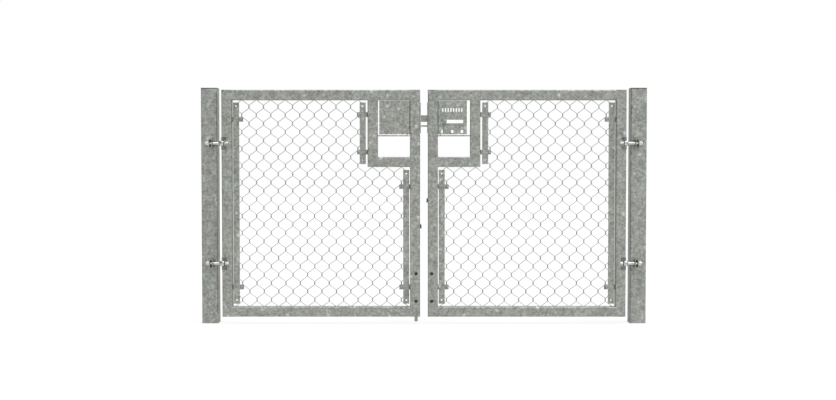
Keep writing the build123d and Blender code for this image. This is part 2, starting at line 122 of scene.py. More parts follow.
def add_node(tree, kind, settings=None, inputs=None):
    """Adds a node with its settings and inputs.

    An input is a value, the socket that feeds it, or a formula: an operation's name and its terms.
    """
    node = tree.nodes.new(kind)
    for name, value in (settings or {}).items():
        setattr(node, name, value)
    for key, value in (inputs or {}).items():
        if isinstance(value, tuple) and isinstance(value[0], str):
            operation, *terms = value
            result = add_node(tree, "ShaderNodeMath", {"operation": operation}, dict(enumerate(terms)))
            value = result.outputs[0]
        if isinstance(value, bpy.types.NodeSocket):
            tree.links.new(value, node.inputs[key])
        else:
            node.inputs[key].default_value = value
    return node


def product_of(tree, *factors):
    """Product of factors; each is a value with the range it has and the range it is spread to."""
    product = 1.0
    for value, low, high, least, most in factors:
        factor = add_node(tree, "ShaderNodeMapRange", inputs={
            "Value": value, "From Min": low, "From Max": high, "To Min": least, "To Max": most})
        product = add_node(tree, "ShaderNodeMath", {"operation": "MULTIPLY"}, {
            0: product, 1: factor.outputs["Result"]}).outputs[0]
    return product


class GateSizes(bpy.types.PropertyGroup):
    """Sizes of the pieces that are fitted on the frame."""

    wire_diameter: bpy.props.FloatProperty(
        name="Wire diameter", description="Thickness of the chain link wire", default=3 * MM, unit="LENGTH")
    cell_width: bpy.props.FloatProperty(
        name="Cell width", description="Width of one mesh opening", default=71.68 * MM, unit="LENGTH")
    cell_height: bpy.props.FloatProperty(
        name="Cell height", description="Height of one mesh opening", default=83.14 * MM, unit="LENGTH")
    thread_pitch: bpy.props.FloatProperty(
        name="Thread pitch", description="Distance from one thread to the next on the eye bolts",
        default=2 * MM, unit="LENGTH")
    weld_width: bpy.props.FloatProperty(
        name="Weld width", description="Width of the weld bead at the frame joints", default=6.4 * MM,
        unit="LENGTH")


class GateColours(bpy.types.PropertyGroup):
    """Colours of the finishes."""

    tube: bpy.props.FloatVectorProperty(
        name="Tube", description="Hot dip galvanised square tube", subtype="COLOR", default=linear("#969994"))
    sheet: bpy.props.FloatVectorProperty(
        name="Sheet", description="Galvanised sheet and flat bar", subtype="COLOR", default=linear("#979a95"))
    bolt: bpy.props.FloatVectorProperty(
        name="Bolts", description="Bright zinc plated steel", subtype="COLOR", default=linear("#c4c6c3"))
    wire: bpy.props.FloatVectorProperty(
        name="Wire", description="Galvanised drawn wire", subtype="COLOR", default=linear("#94969a"))
    plastic: bpy.props.FloatVectorProperty(
        name="Plastic", description="Black moulded plastic", subtype="COLOR", default=linear("#121312"))
    knob: bpy.props.FloatVectorProperty(
        name="Knob", description="Polished knob of the slide bolt", subtype="COLOR",
        default=linear("#777976"))
    cap: bpy.props.FloatVectorProperty(
        name="Caps", description="Dark grey moulded caps", subtype="COLOR", default=linear("#1e201e"))
    # The bushes' grey is partly their own colour and partly painted shade: it is darkened to stand for the
    # shade inside the hinge pockets.
    bush: bpy.props.FloatVectorProperty(
        name="Bushes", description="Grey moulded bushes of the hinges", subtype="COLOR",
        default=linear("#6c6e6c"))


class StudioSettings(bpy.types.PropertyGroup):
    """Light and camera of the studio."""

    room: bpy.props.FloatProperty(
        name="Room", description="Strength of the light from all round", default=0.67)
    ceiling: bpy.props.FloatProperty(
        name="Ceiling", description="How much brighter the room is overhead", default=0.9)
    right_side: bpy.props.FloatProperty(
        name="Right side", description="How much darker the room is at the right", default=0.3)
    left_side: bpy.props.FloatProperty(
        name="Left side", description="How much darker the room is at the left", default=1.1)
    key: bpy.props.FloatProperty(
        name="Key light", description="Strength of the soft light from above and the right", default=1.95)
    window: bpy.props.FloatProperty(
        name="Window light", description="Strength of the narrow light that draws lines on the bolts",
        default=0.3)
    focal_length: bpy.props.FloatProperty(
        name="Focal length", description="Focal length on a 36 mm frame", default=56.64, unit="CAMERA")


def new_material(name, shading):
    """Makes an empty node material; returns its tree, its shader and its Object coordinates."""
    material = bpy.data.materials.new(name)
    material.use_nodes = True
    tree = material.node_tree
    tree.nodes.clear()
    shader = add_node(tree, "ShaderNodeBsdfPrincipled", inputs=shading)
    add_node(tree, "ShaderNodeOutputMaterial", inputs={"Surface": shader.outputs["BSDF"]})
    return tree, shader, add_node(tree, "ShaderNodeTexCoord").outputs["Object"]


def per_metre(millimetres):
    """Texture scale that gives a feature of this size."""
    return 1 / (millimetres * MM)


def surface(tree, shader, colour, tone, dull, relief, strength, depth):
    """Gives the shader its colour times a tone, its roughness, and bumps from a relief of this depth."""
    shade = add_node(tree, "ShaderNodeVectorMath", {"operation": "SCALE"}, {0: colour, "Scale": tone})
    bump = add_node(tree, "ShaderNodeBump", inputs={
        "Height": relief, "Strength": strength, "Distance": depth})
    tree.links.new(shade.outputs[0], shader.inputs["Base Color"])
    tree.links.new(dull, shader.inputs["Roughness"])
    tree.links.new(bump.outputs["Normal"], shader.inputs["Normal"])


def galvanised(name, colour, spangle, contrast, roughness):
    """Zinc over steel: crystal spangle, speckle, a cloudy patina and a pale round spot here and there.

    Freshly dipped zinc shows pale and dark crystals a centimetre across. Weather
    dulls them to a satin grey with faint clouds, and the coat is slightly rough.
    Where the zinc froze last it stays pale, in spots as wide as a thumb. Seen at a
    slant, the dull coat shines less than clean metal does.
    """
    tree, shader, place = new_material(name, {"Metallic": 0.8, "Specular Tint": (0.65, 0.65, 0.65, 1.0)})
    clouds, broad, speckle, grain = (
        add_node(tree, "ShaderNodeTexNoise", inputs={
            "Vector": place, "Scale": per_metre(size), "Detail": detail, "Roughness": rough}).outputs["Fac"]
        for size, detail, rough in ((45, 3.0, 0.6), (170, 1.0, 0.5), (11, 2.0, 0.7), (5, 3.0, 0.7)))
    spot_spacing = 50
    crystals, spots = (
        add_node(tree, "ShaderNodeTexVoronoi", inputs={"Vector": place, "Scale": per_metre(size)}).outputs
        for size in (spangle, spot_spacing))
    tone, chance = (add_node(tree, "ShaderNodeSeparateColor", inputs={"Color": cells["Color"]}).outputs
                    for cells in (crystals, spots))
    spot = product_of(tree, (chance["Blue"], 0.2, 0.3, 0.0, 1.0), (spots["Distance"], 0.15, 0.22, 1.0, 0.0))
    spot_gain = 1.45
    patterns = ((tone["Red"], 0.0, 1.0, 1.0), (clouds, 0.32, 0.68, 0.8), (speckle, 0.3, 0.7, 2.1),
                (grain, 0.3, 0.7, 1.2))
    factors = [(value, low, high, 1 - share * contrast, 1 + share * contrast)
               for value, low, high, share in patterns]
    brightness = product_of(tree, *factors, (spot, 0.0, 1.0, 1.0, spot_gain))
    cool = tuple(c * f for c, f in zip(colour, (0.96, 1.0, 1.0)))
    warm = tuple(c * f for c, f in zip(colour, (1.05, 1.0, 0.985)))
    tint = add_node(tree, "ShaderNodeMix", {"data_type": "RGBA"}, {
        "Factor": broad, "A": (*cool, 1.0), "B": (*warm, 1.0)})
    dull = product_of(tree, (tone["Green"], 0.0, 1.0, roughness - 0.06, roughness + 0.08))
    surface(tree, shader, tint.outputs[2], brightness, dull, grain, 0.25, 0.6 * MM)


def hot_dip_galvanised_tube(colour):
    """Welded square tube, dipped in zinc after welding."""
    galvanised("hot_dip_galvanised_tube", colour, 13, 0.14, 0.45)


def galvanised_sheet(colour):
    """Cold rolled sheet and flat bar with a thin zinc coat: finer spangle and a more even grey."""
    galvanised("galvanised_sheet", colour, 9, 0.15, 0.42)


def mottled(name, shading, colour, mottle, tones, roughness, relief, strength, depth):
    """Material with soft mottling in its tone and roughness, and a fine relief.

    The mottle and the relief each have a size in millimetres and a detail.
    """
    tree, shader, place = new_material(name, shading)
    mottling, bumps = (
        add_node(tree, "ShaderNodeTexNoise", inputs={
            "Vector": place, "Scale": per_metre(size), "Detail": detail}).outputs["Fac"]
        for size, detail in (mottle, relief))
    surface(tree, shader, colour, product_of(tree, (mottling, 0.3, 0.7, *tones)),
            product_of(tree, (mottling, 0.0, 1.0, *roughness)), bumps, strength, depth)


def bright_zinc_plated_steel(colour):
    """Turned steel with electroplated zinc: bright and slightly smeared.

    The marks of the lathe are drawn coarser than real ones, so that they show.
    """
    mottled("bright_zinc_plated_steel", {"Metallic": 1.0}, colour, mottle=(14, 3.0), tones=(0.82, 1.1),
            roughness=(0.08, 0.18), relief=(1.5, 2.0), strength=0.12, depth=0.08 * MM)


def galvanised_drawn_wire(colour):
    """Drawn steel wire through a zinc bath: smooth satin grey, a little streaky along its length."""
    mottled("galvanised_drawn_wire", {"Metallic": 0.7}, colour, mottle=(9, 2.0), tones=(0.86, 1.12),
            roughness=(0.32, 0.5), relief=(9, 2.0), strength=0.1, depth=0.2 * MM)


def moulded(name, colour, roughness):
    """Injection moulded plastic: even colour, a fine spark-eroded texture and a soft sheen."""
    mottled(name, {"IOR": 1.5}, colour, mottle=(18, 3.0), tones=(0.85, 1.2),
            roughness=(roughness - 0.06, roughness + 0.1), relief=(0.9, 2.0), strength=0.3, depth=0.15 * MM)


def finish(name):
    """The finish of this name, which the finishes operator made."""
    return bpy.data.materials[name]


FINISH_OF = {
    "post_caps": "dark_grey_moulded_cap",
    "bolt_guides": "black_moulded_plastic",
    "slide_knob": "black_moulded_plastic",
    "drop_handle": "black_moulded_plastic",
    "eye_bolts": "bright_zinc_plated_steel",
    "hinge_nuts": "bright_zinc_plated_steel",
    # The hinge bushes get a grey that is partly painted shade of the hinge pockets.
    "hinge_pins": "grey_bush_with_painted_shade",
    "forend_plate": "galvanised_sheet",
    "lock_cover": "galvanised_sheet",
    "lock_floor": "galvanised_sheet",
    "hinge_brackets": "galvanised_sheet",
    "slide_bolt": "galvanised_sheet",
    "bar_clamps": "galvanised_sheet",
    "tension_bars": "galvanised_sheet",
    "mesh_tall": "galvanised_drawn_wire",
    "mesh_under_lock": "galvanised_drawn_wire",
}


def mesh_object(name, mesh):
    """Links an object with this mesh to the scene."""
    piece = bpy.data.objects.new(name, mesh)
    bpy.context.scene.collection.objects.link(piece)
    return piece


def from_bmesh(name, bm):
    """Plain object from a bmesh, with its doubles merged and its faces pointing outwards."""
    bmesh.ops.remove_doubles(bm, verts=bm.verts, dist=1e-6)
    bmesh.ops.recalc_face_normals(bm, faces=bm.faces)
    mesh = bpy.data.meshes.new(name)
    bm.to_mesh(mesh)
    bm.free()
    return mesh_object(name, mesh)


def turned(profile, steps, turn=Matrix.Identity(4), bm=None):
    """Closed shape turned about Z from (radius, height) points, then placed by the turn matrix."""
    bm = bm or bmesh.new()
    rings = []
    for radius, height in profile:
        if radius < 1e-7:
            rings.append([bm.verts.new(turn @ Vector((0, 0, height)))])
        else:
            rings.append([bm.verts.new(turn @ Vector((radius * math.cos(a), radius * math.sin(a), height)))
                          for a in (2 * math.pi * i / steps for i in range(steps))])
    for low, high in zip(rings, rings[1:]):
        for i in range(steps):
            j = (i + 1) % steps
            corners = [low[i % len(low)], low[j % len(low)], high[j % len(high)], high[i % len(high)]]
            bm.faces.new(list(dict.fromkeys(corners)))
    return bm


def lofted(rings, bm=None, closed=False):
    """Shape through rings of points with one count, closed on itself or by flat ends."""
    bm = bm or bmesh.new()
    rows = [[bm.verts.new(point) for point in ring] for ring in rings]
    for low, high in zip(rows, rows[1:] + rows[:1] if closed else rows[1:]):
        for i in range(len(low)):
            j = (i + 1) % len(low)
            bm.faces.new((low[i], low[j], high[j], high[i]))
    if not closed:
        bm.faces.new(rows[0])
        bm.faces.new(rows[-1])
    return bm


def cut_rectangle(half_width, half_height, cut):
    """Points of a rectangle with its corners cut off."""
    near, far = half_width - cut, half_height - cut
    return [(-near, -half_height), (near, -half_height), (half_width, -far), (half_width, far),
            (near, half_height), (-near, half_height), (-half_width, far), (-half_width, -far)]


def millimetres(profile):
    """Profile in metres from one in millimetres."""
    return [(a * MM, b * MM) for a, b in profile]


def run_tree(name, tree, inputs, base=None):
    """Runs a geometry tree on a base mesh and returns the result as one plain mesh object."""
    source = mesh_object(name, base or bpy.data.meshes.new(name))
    modifier = source.modifiers.new("Shape", "NODES")
    modifier.node_group = tree
    sockets = {i.name: i.identifier for i in tree.interface.items_tree if i.item_type == "SOCKET"
               and i.in_out == "INPUT"}
    for key, value in inputs.items():
        modifier[sockets[key]] = value
    source.update_tag()
    depsgraph = bpy.context.evaluated_depsgraph_get()
    mesh = bpy.data.meshes.new_from_object(source.evaluated_get(depsgraph), depsgraph=depsgraph)
    if not mesh.polygons:
        raise RuntimeError(f"{name} has no faces")
    source.modifiers.remove(modifier)
    source.data = mesh
    mesh.name = name
    return source


def new_tree(name, sizes):
    """Geometry tree with a geometry input, a material and named sizes; returns it with its group input."""
    tree = bpy.data.node_groups.new(name, "GeometryNodeTree")
    tree.interface.new_socket("Geometry", in_out="INPUT", socket_type="NodeSocketGeometry")
    for label, kind in sizes:
        tree.interface.new_socket(label, in_out="INPUT", socket_type=kind)
    tree.interface.new_socket("Finish", in_out="INPUT", socket_type="NodeSocketMaterial")
    tree.interface.new_socket("Geometry", in_out="OUTPUT", socket_type="NodeSocketGeometry")
    return tree, add_node(tree, "NodeGroupInput").outputs


def end_tree(tree, group, shape):
    """Ends a tree in Realize Instances, smooth shading and Set Material."""
    real = add_node(tree, "GeometryNodeRealizeInstances", inputs={"Geometry": shape})
    shaded = add_node(tree, "GeometryNodeSetShadeSmooth", inputs={
        "Geometry": real.outputs[0], "Shade Smooth": True})
    coated = add_node(tree, "GeometryNodeSetMaterial", inputs={
        "Geometry": shaded.outputs[0], "Material": group["Finish"]})
    add_node(tree, "NodeGroupOutput", inputs={"Geometry": coated.outputs[0]})
    return tree


FLOAT = "NodeSocketFloat"
INTEGER = "NodeSocketInt"


def woven_wire_tree():
    """Tree that weaves upright zigzag wires, each hooked round its neighbours at every bend.

    All the wires' points are one line; each point's number gives its wire and its place on it.
    A wire crosses from one column of bends to the next in front, and comes back behind. A bend reaches
    past its column by a little over half the wire, and a crossing stands about as far off the plane.
    The tall wires reach the tall top, and the others end at the short top, under the lock frame.
    """
    tree, group = new_tree("woven_wire", (
        ("Wire Diameter", FLOAT), ("Column Step", FLOAT), ("Row Step", FLOAT), ("First Row", FLOAT),
        ("Outer Column", FLOAT), ("Middle", FLOAT), ("Side", FLOAT), ("Wires", INTEGER),
        ("Tall Wires", INTEGER), ("Tall Top", FLOAT), ("Short Top", FLOAT), ("Bottom", FLOAT),
        ("Plane", FLOAT), ("Rows", INTEGER), ("Bend Length", FLOAT), ("Bend Softness", FLOAT)))
    bend_points = 8
    hooked = 0.55
    stand_off = 0.53
    steepness = 2.3
    wire_points = add_node(tree, "ShaderNodeMath", {"operation": "MULTIPLY"}, {
        0: group["Rows"], 1: bend_points}).outputs[0]
    line = add_node(tree, "GeometryNodeMeshLine", inputs={
        "Count": ("MULTIPLY", wire_points, group["Wires"])})
    index = add_node(tree, "GeometryNodeInputIndex").outputs[0]
    number = add_node(tree, "ShaderNodeMath", {"operation": "FLOOR"}, {
        0: ("DIVIDE", ("ADD", index, 0.5), wire_points)}).outputs[0]
    place = add_node(tree, "ShaderNodeMath", {"operation": "SUBTRACT"}, {
        0: index, 1: ("MULTIPLY", number, wire_points)}).outputs[0]
    row = add_node(tree, "ShaderNodeMath", {"operation": "SUBTRACT"}, {
        0: ("FLOOR", ("DIVIDE", ("ADD", place, 0.5), bend_points)), 1: 1.0}).outputs[0]
    since_bend = ("SUBTRACT", place, ("MULTIPLY", ("ADD", row, 1.0), bend_points))
    along = add_node(tree, "ShaderNodeMath", {"operation": "SUBTRACT"}, {
        0: ("DIVIDE", since_bend, bend_points), 1: 0.5}).outputs[0]
    crowded = ("MULTIPLY", ("MULTIPLY", along, ("ABSOLUTE", along)), 2.0)
    height = add_node(tree, "ShaderNodeMath", {"operation": "SUBTRACT"}, {
        0: group["First Row"], 1: ("MULTIPLY", ("ADD", row, crowded), group["Row Step"])}).outputs[0]
    after, before = (
        add_node(tree, "GeometryNodeFieldAtIndex", {"domain": "POINT", "data_type": "FLOAT"}, {
            "Value": height, "Index": neighbour}).outputs[0]
        for neighbour in (("ADD", index, 1.0), ("SUBTRACT", index, 1.0)))
    is_tall = ("LESS_THAN", number, ("SUBTRACT", group["Tall Wires"], 0.5))
    top = add_node(tree, "ShaderNodeMath", {"operation": "ADD"}, {
        0: group["Short Top"],
        1: ("MULTIPLY", is_tall, ("SUBTRACT", group["Tall Top"], group["Short Top"]))}).outputs[0]
    outside = ("MAXIMUM", ("GREATER_THAN", after, top), ("LESS_THAN", before, group["Bottom"]))
    held = add_node(tree, "ShaderNodeMath", {"operation": "MINIMUM"}, {
        0: ("MAXIMUM", height, group["Bottom"]), 1: top}).outputs[0]
    turn = add_node(tree, "ShaderNodeMath", {"operation": "ADD"}, {
        0: ("DIVIDE", ("SUBTRACT", group["First Row"], held), group["Row Step"]), 1: number}).outputs[0]
    wave = add_node(tree, "ShaderNodeMath", {"operation": "PINGPONG"}, {0: turn, 1: 1.0}).outputs[0]
    from_bend = ("SUBTRACT", 0.5, ("ABSOLUTE", ("SUBTRACT", wave, 0.5)))
    overlap = add_node(tree, "ShaderNodeMath", {"operation": "DIVIDE"}, {
        0: ("MULTIPLY", group["Wire Diameter"], hooked), 1: group["Column Step"]}).outputs[0]
    half_bend = add_node(tree, "ShaderNodeMath", {"operation": "DIVIDE"}, {
        0: ("MULTIPLY", group["Bend Length"], 0.5), 1: group["Row Step"]}).outputs[0]
    slope = ("DIVIDE", ("ADD", 0.5, overlap), ("SUBTRACT", 0.5, half_bend))
    ramp = ("SMOOTH_MAX", ("SUBTRACT", from_bend, half_bend), 0.0, group["Bend Softness"])
    inset = ("SUBTRACT", ("MULTIPLY", ramp, slope), overlap)
    share = ("ADD", 0.5, ("MULTIPLY", ("SIGN", ("SUBTRACT", wave, 0.5)), ("SUBTRACT", 0.5, inset)))
    distance = ("SUBTRACT", group["Outer Column"], ("MULTIPLY", ("ADD", number, share), group["Column Step"]))
    across = ("ADD", group["Middle"], ("MULTIPLY", group["Side"], distance))
    swing = ("MULTIPLY", ("SINE", ("MULTIPLY", turn, math.pi)), steepness)
    depth = ("MULTIPLY", ("MINIMUM", ("MAXIMUM", swing, -1.0), 1.0),
             ("MULTIPLY", group["Wire Diameter"], stand_off))
    forward = ("SUBTRACT", group["Plane"], ("MULTIPLY", depth, group["Side"]))
    position = add_node(tree, "ShaderNodeCombineXYZ", inputs={"X": across, "Y": forward, "Z": held})
    new_wire = ("LESS_THAN", ("SUBTRACT", wire_points, place), 1.5)
    marked = add_node(tree, "GeometryNodeStoreNamedAttribute", {"domain": "POINT", "data_type": "FLOAT"}, {
        "Geometry": line.outputs[0], "Name": "outside", "Value": outside})
    placed = add_node(tree, "GeometryNodeSetPosition", inputs={
        "Geometry": marked.outputs[0], "Position": position.outputs[0]})
    parted = add_node(tree, "GeometryNodeDeleteGeometry", {"domain": "EDGE", "mode": "EDGE_FACE"}, {
        "Geometry": placed.outputs[0], "Selection": new_wire})
    flag = add_node(tree, "GeometryNodeInputNamedAttribute", {"data_type": "FLOAT"}, {"Name": "outside"})
    kept = add_node(tree, "GeometryNodeDeleteGeometry", {"domain": "POINT"}, {
        "Geometry": parted.outputs[0], "Selection": flag.outputs[0]})
    curve = add_node(tree, "GeometryNodeMeshToCurve", inputs={"Mesh": kept.outputs[0]})
    section = add_node(tree, "GeometryNodeCurvePrimitiveCircle", inputs={
        "Resolution": 6, "Radius": ("MULTIPLY", group["Wire Diameter"], 0.5)})
    wire = add_node(tree, "GeometryNodeCurveToMesh", inputs={
        "Curve": curve.outputs[0], "Profile Curve": section.outputs[0], "Fill Caps": True})
    return end_tree(tree, group, wire.outputs[0])


def set_out_tree():
    """Tree that puts one fixing on every point, turned by the point's angles."""
    tree, group = new_tree("set_out", (("Fixing", "NodeSocketObject"),))
    fixing = add_node(tree, "GeometryNodeObjectInfo", inputs={"Object": group["Fixing"]})
    turn = add_node(tree, "GeometryNodeInputNamedAttribute", {"data_type": "FLOAT_VECTOR"}, {"Name": "turn"})
    rotation = add_node(tree, "FunctionNodeEulerToRotation", inputs={"Euler": turn.outputs[0]})
    copies = add_node(tree, "GeometryNodeInstanceOnPoints", inputs={
        "Points": group["Geometry"], "Instance": fixing.outputs["Geometry"], "Rotation": rotation.outputs[0]})
    return end_tree(tree, group, copies.outputs[0])


def set_out(name, fixing, places, coat):
    """One mesh with a fixing at every (position, angles), and the fixing itself removed."""
    points = bpy.data.meshes.new(name)
    points.from_pydata([position for position, _ in places], [], [])
    turns = points.attributes.new("turn", "FLOAT_VECTOR", "POINT")
    for item, (_, angles) in zip(turns.data, places):
        item.vector = angles
    tree = bpy.data.node_groups.get("set_out") or set_out_tree()
    piece = run_tree(name, tree, {"Fixing": fixing, "Finish": finish(coat)}, points)
    piece.data.set_sharp_from_angle(angle=math.radians(35))
    bpy.data.objects.remove(fixing)
    return piece


def thread_tree():
    """Tree that winds a ridge round a rod along Z, with a plain core inside it."""
    tree, group = new_tree("threaded_rod", (
        ("Length", FLOAT), ("Radius", FLOAT), ("Pitch", FLOAT), ("Depth", FLOAT)))
    core_radius = add_node(tree, "ShaderNodeMath", {"operation": "SUBTRACT"}, {
        0: group["Radius"], 1: group["Depth"]}).outputs[0]
    spiral = add_node(tree, "GeometryNodeCurveSpiral", inputs={
        "Resolution": 18, "Rotations": ("DIVIDE", group["Length"], group["Pitch"]),
        "Start Radius": core_radius, "End Radius": core_radius, "Height": group["Length"]})
    ridge = add_node(tree, "GeometryNodeCurvePrimitiveCircle", inputs={
        "Resolution": 4, "Radius": group["Depth"]})
    thread = add_node(tree, "GeometryNodeCurveToMesh", inputs={
        "Curve": spiral.outputs[0], "Profile Curve": ridge.outputs[0], "Fill Caps": True})
    end = add_node(tree, "ShaderNodeCombineXYZ", inputs={"Z": group["Length"]})
    axis = add_node(tree, "GeometryNodeCurvePrimitiveLine", inputs={"End": end.outputs[0]})
    circle = add_node(tree, "GeometryNodeCurvePrimitiveCircle", inputs={
        "Resolution": 24, "Radius": core_radius})
    core = add_node(tree, "GeometryNodeCurveToMesh", inputs={
        "Curve": axis.outputs[0], "Profile Curve": circle.outputs[0], "Fill Caps": True})
    both = add_node(tree, "GeometryNodeJoinGeometry")
    for part in (thread, core):
        tree.links.new(part.outputs[0], both.inputs[0])
    return end_tree(tree, group, both.outputs[0])


def weld_tree():
    """Tree that lays a rippled bead along every edge line of the base mesh."""
    tree, group = new_tree("weld_bead", (("Bead Width", FLOAT), ("Ripple", FLOAT), ("Seed", FLOAT)))
    curve = add_node(tree, "GeometryNodeMeshToCurve", inputs={"Mesh": group["Geometry"]})
    fine = add_node(tree, "GeometryNodeResampleCurve", {"mode": "LENGTH"}, {
        "Curve": curve.outputs[0], "Length": 2 * MM})
    position = add_node(tree, "GeometryNodeInputPosition").outputs[0]
    noise = add_node(tree, "ShaderNodeTexNoise", {"noise_dimensions": "4D"}, {
        "Vector": position, "W": group["Seed"], "Scale": per_metre(5), "Detail": 1.0})
    size = product_of(tree, (noise.outputs[0], 0.3, 0.7, 1.0, ("ADD", 1.0, group["Ripple"])))
    section = add_node(tree, "GeometryNodeCurvePrimitiveCircle", inputs={
        "Resolution": 8, "Radius": ("MULTIPLY", group["Bead Width"], 0.5)})
    bead = add_node(tree, "GeometryNodeCurveToMesh", inputs={
        "Curve": fine.outputs[0], "Profile Curve": section.outputs[0], "Scale": size, "Fill Caps": True})
    return end_tree(tree, group, bead.outputs[0])


def give(piece, body, slot, *replaced):
    """Puts a finished piece on its body and hides the frame nodes that it stands for; the slot is not used.
    """
    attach(piece, body)
    if replaced:
        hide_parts(*replaced)


class GATE_OT_finishes(bpy.types.Operator):
    """Make the metal and plastic finishes and put them on every frame part"""

    bl_idname = "gate.finishes"
    bl_label = "Finishes"

    def execute(self, context):
        colours = context.scene.gate_colours
        hot_dip_galvanised_tube(tuple(colours.tube))
        galvanised_sheet(tuple(colours.sheet))
        bright_zinc_plated_steel(tuple(colours.bolt))
        galvanised_drawn_wire(tuple(colours.wire))
        moulded("black_moulded_plastic", tuple(colours.plastic), 0.42)
        moulded("polished_grey_plastic", tuple(colours.knob), 0.2)
        moulded("dark_grey_moulded_cap", tuple(colours.cap), 0.5)
        # Grey of the hinge bushes, darkened in part as painted shade of the hinge pockets.
        moulded("grey_bush_with_painted_shade", tuple(colours.bush), 0.45)
        for name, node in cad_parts.items():
            coat = next((coat for ending, coat in FINISH_OF.items() if name.endswith(ending)),
                        "hot_dip_galvanised_tube")
            if not node.material_slots:
                node.data.materials.append(None)
            for place in node.material_slots:
                place.material = finish(coat)
        return {"FINISHED"}


class GATE_OT_woven_panels(bpy.types.Operator):
    """Weave the chain link panel of each leaf"""

    bl_idname = "gate.woven_panels"
    bl_label = "Woven panels"

    def execute(self, context):
        sizes = context.scene.gate_sizes
        tree = woven_wire_tree()
        outer_column = from_middle(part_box("right_mesh_tall")[1].x)
        first_row = RAIL_HIGH.z - 82.5 * MM
        plane = LEAF_MIDDLE + 1.5 * MM
        wires, tall_wires, rows = 24, 18, 27
        for word, side in SIDES:
            panel = run_tree(f"{word}_chain_link", tree, {
                "Wire Diameter": sizes.wire_diameter, "Column Step": sizes.cell_width / 2,
                "Row Step": sizes.cell_height / 2, "First Row": first_row,
                "Outer Column": outer_column, "Middle": GATE_MIDDLE, "Side": float(side),
                "Wires": wires, "Tall Wires": tall_wires, "Rows": rows, "Tall Top": RAIL_LOW.z,
                "Short Top": LOCK_RAIL_LOW.z, "Bottom": FOOT_RAIL_HIGH.z, "Plane": plane,
                "Bend Length": 13 * MM, "Bend Softness": 0.09,
                "Finish": finish("galvanised_drawn_wire")})
            give(panel, f"{word}_leaf", "galvanised_wire", f"{word}_mesh_tall", f"{word}_mesh_under_lock")
        return {"FINISHED"}


def clamp_fixing():
    """Clamp from a tube round a flat bar: bent strap, domed bolt in front and square nut behind.

    The origin is on the tube's face at the clamp's middle height, in the middle of the leaf.
    """
    length = 53 * MM
    leg = 8.05 * MM
    half_strap, half_strap_width, edge_cut = 1.25 * MM, 11.5 * MM, 0.5 * MM
    bend = 2.25 * MM
    corner = half_strap + bend
    section = cut_rectangle(half_strap, half_strap_width, edge_cut)
    stations = [(length, -leg, 270)]
    for angle in (270, 247.5, 225, 202.5, 180):
        turn = math.radians(angle)
        stations.append((corner + bend * math.cos(turn), bend - leg + bend * math.sin(turn), angle))
    stations += [(x, -y, 360 - a) for x, y, a in reversed(stations)]
    bm = lofted([[(x + out * math.cos(math.radians(a)), y + out * math.sin(math.radians(a)), z)
                  for out, z in section] for x, y, a in stations])
    bolt_distance = 45 * MM
    bolt = Matrix.Translation((bolt_distance, -leg - half_strap, 0)) @ Matrix.Rotation(math.pi / 2, 4, "X")
    head = [(0, -25.6), (3.3, -25.6), (3.9, -24.9), (3.9, 0), (7, 0), (7, 0.8), (6.5, 2.3), (5.1, 3.6),
            (2.9, 4.4), (0, 4.7)]
    turned(millimetres(head), 24, bolt, bm)
    nut = [[bolt @ Vector((x, y, -level * MM)) for x, y in cut_rectangle(size * MM, size * MM, 0.9 * MM)]
           for level, size in ((18.6, 6.5), (22.9, 6.5), (23.6, 5.9))]
    lofted(nut, bm)
    return from_bmesh("clamp", bm)


class GATE_OT_bar_clamps(bpy.types.Operator):
    """Bolt the tension bars to the tubes with bent clamps"""

    bl_idname = "gate.bar_clamps"
    bl_label = "Bar clamps"

    def execute(self, context):
        from_end = 83 * MM
        lock_from_end = 59.5 * MM
        lock_bar_length = 304 * MM
        lock_bar_foot = BARS_HIGH.z - lock_bar_length
        below_lock = 14 * MM
        meeting_bar_top = LOCK_RAIL_LOW.z - below_lock
        clamps = (
            (HINGE_INNER, -1, BARS_LOW.z + from_end), (HINGE_INNER, -1, BARS_HIGH.z - from_end),
            (LOCK_OUTER, 1, lock_bar_foot + lock_from_end), (LOCK_OUTER, 1, BARS_HIGH.z - lock_from_end),
            (MEETING_INNER, 1, BARS_LOW.z + from_end), (MEETING_INNER, 1, meeting_bar_top - from_end))
        for word, side in SIDES:
            places = [((at(side, face), LEAF_MIDDLE, height), (0, 0 if side * away > 0 else math.pi, 0))
                      for face, away, height in clamps]
            piece = set_out(f"{word}_bolted_clamps", clamp_fixing(), places, "galvanised_sheet")
            give(piece, f"{word}_leaf", "zinc_sheet", f"{word}_bar_clamps")
        return {"FINISHED"}


def weld_lines(name, loops):
    """Mesh of closed edge lines.

    Each loop has a centre, two directions, two half sizes and a corner radius.
    """
    points = []
    edges = []
    for centre, across, up, half_across, half_up, corner in loops:
        first = len(points)
        for quarter in range(4):
            reach_across = (half_across - corner) * (1 if quarter in (0, 3) else -1)
            reach_up = (half_up - corner) * (1 if quarter < 2 else -1)
            for step in range(4):
                angle = math.pi / 2 * (quarter + step / 3)
                points.append(centre + across * (reach_across + corner * math.cos(angle))
                              + up * (reach_up + corner * math.sin(angle)))
        edges += [(i, i + 1) for i in range(first, len(points) - 1)] + [(len(points) - 1, first)]
    mesh = bpy.data.meshes.new(name)
    mesh.from_pydata(points, edges, [])
    return mesh


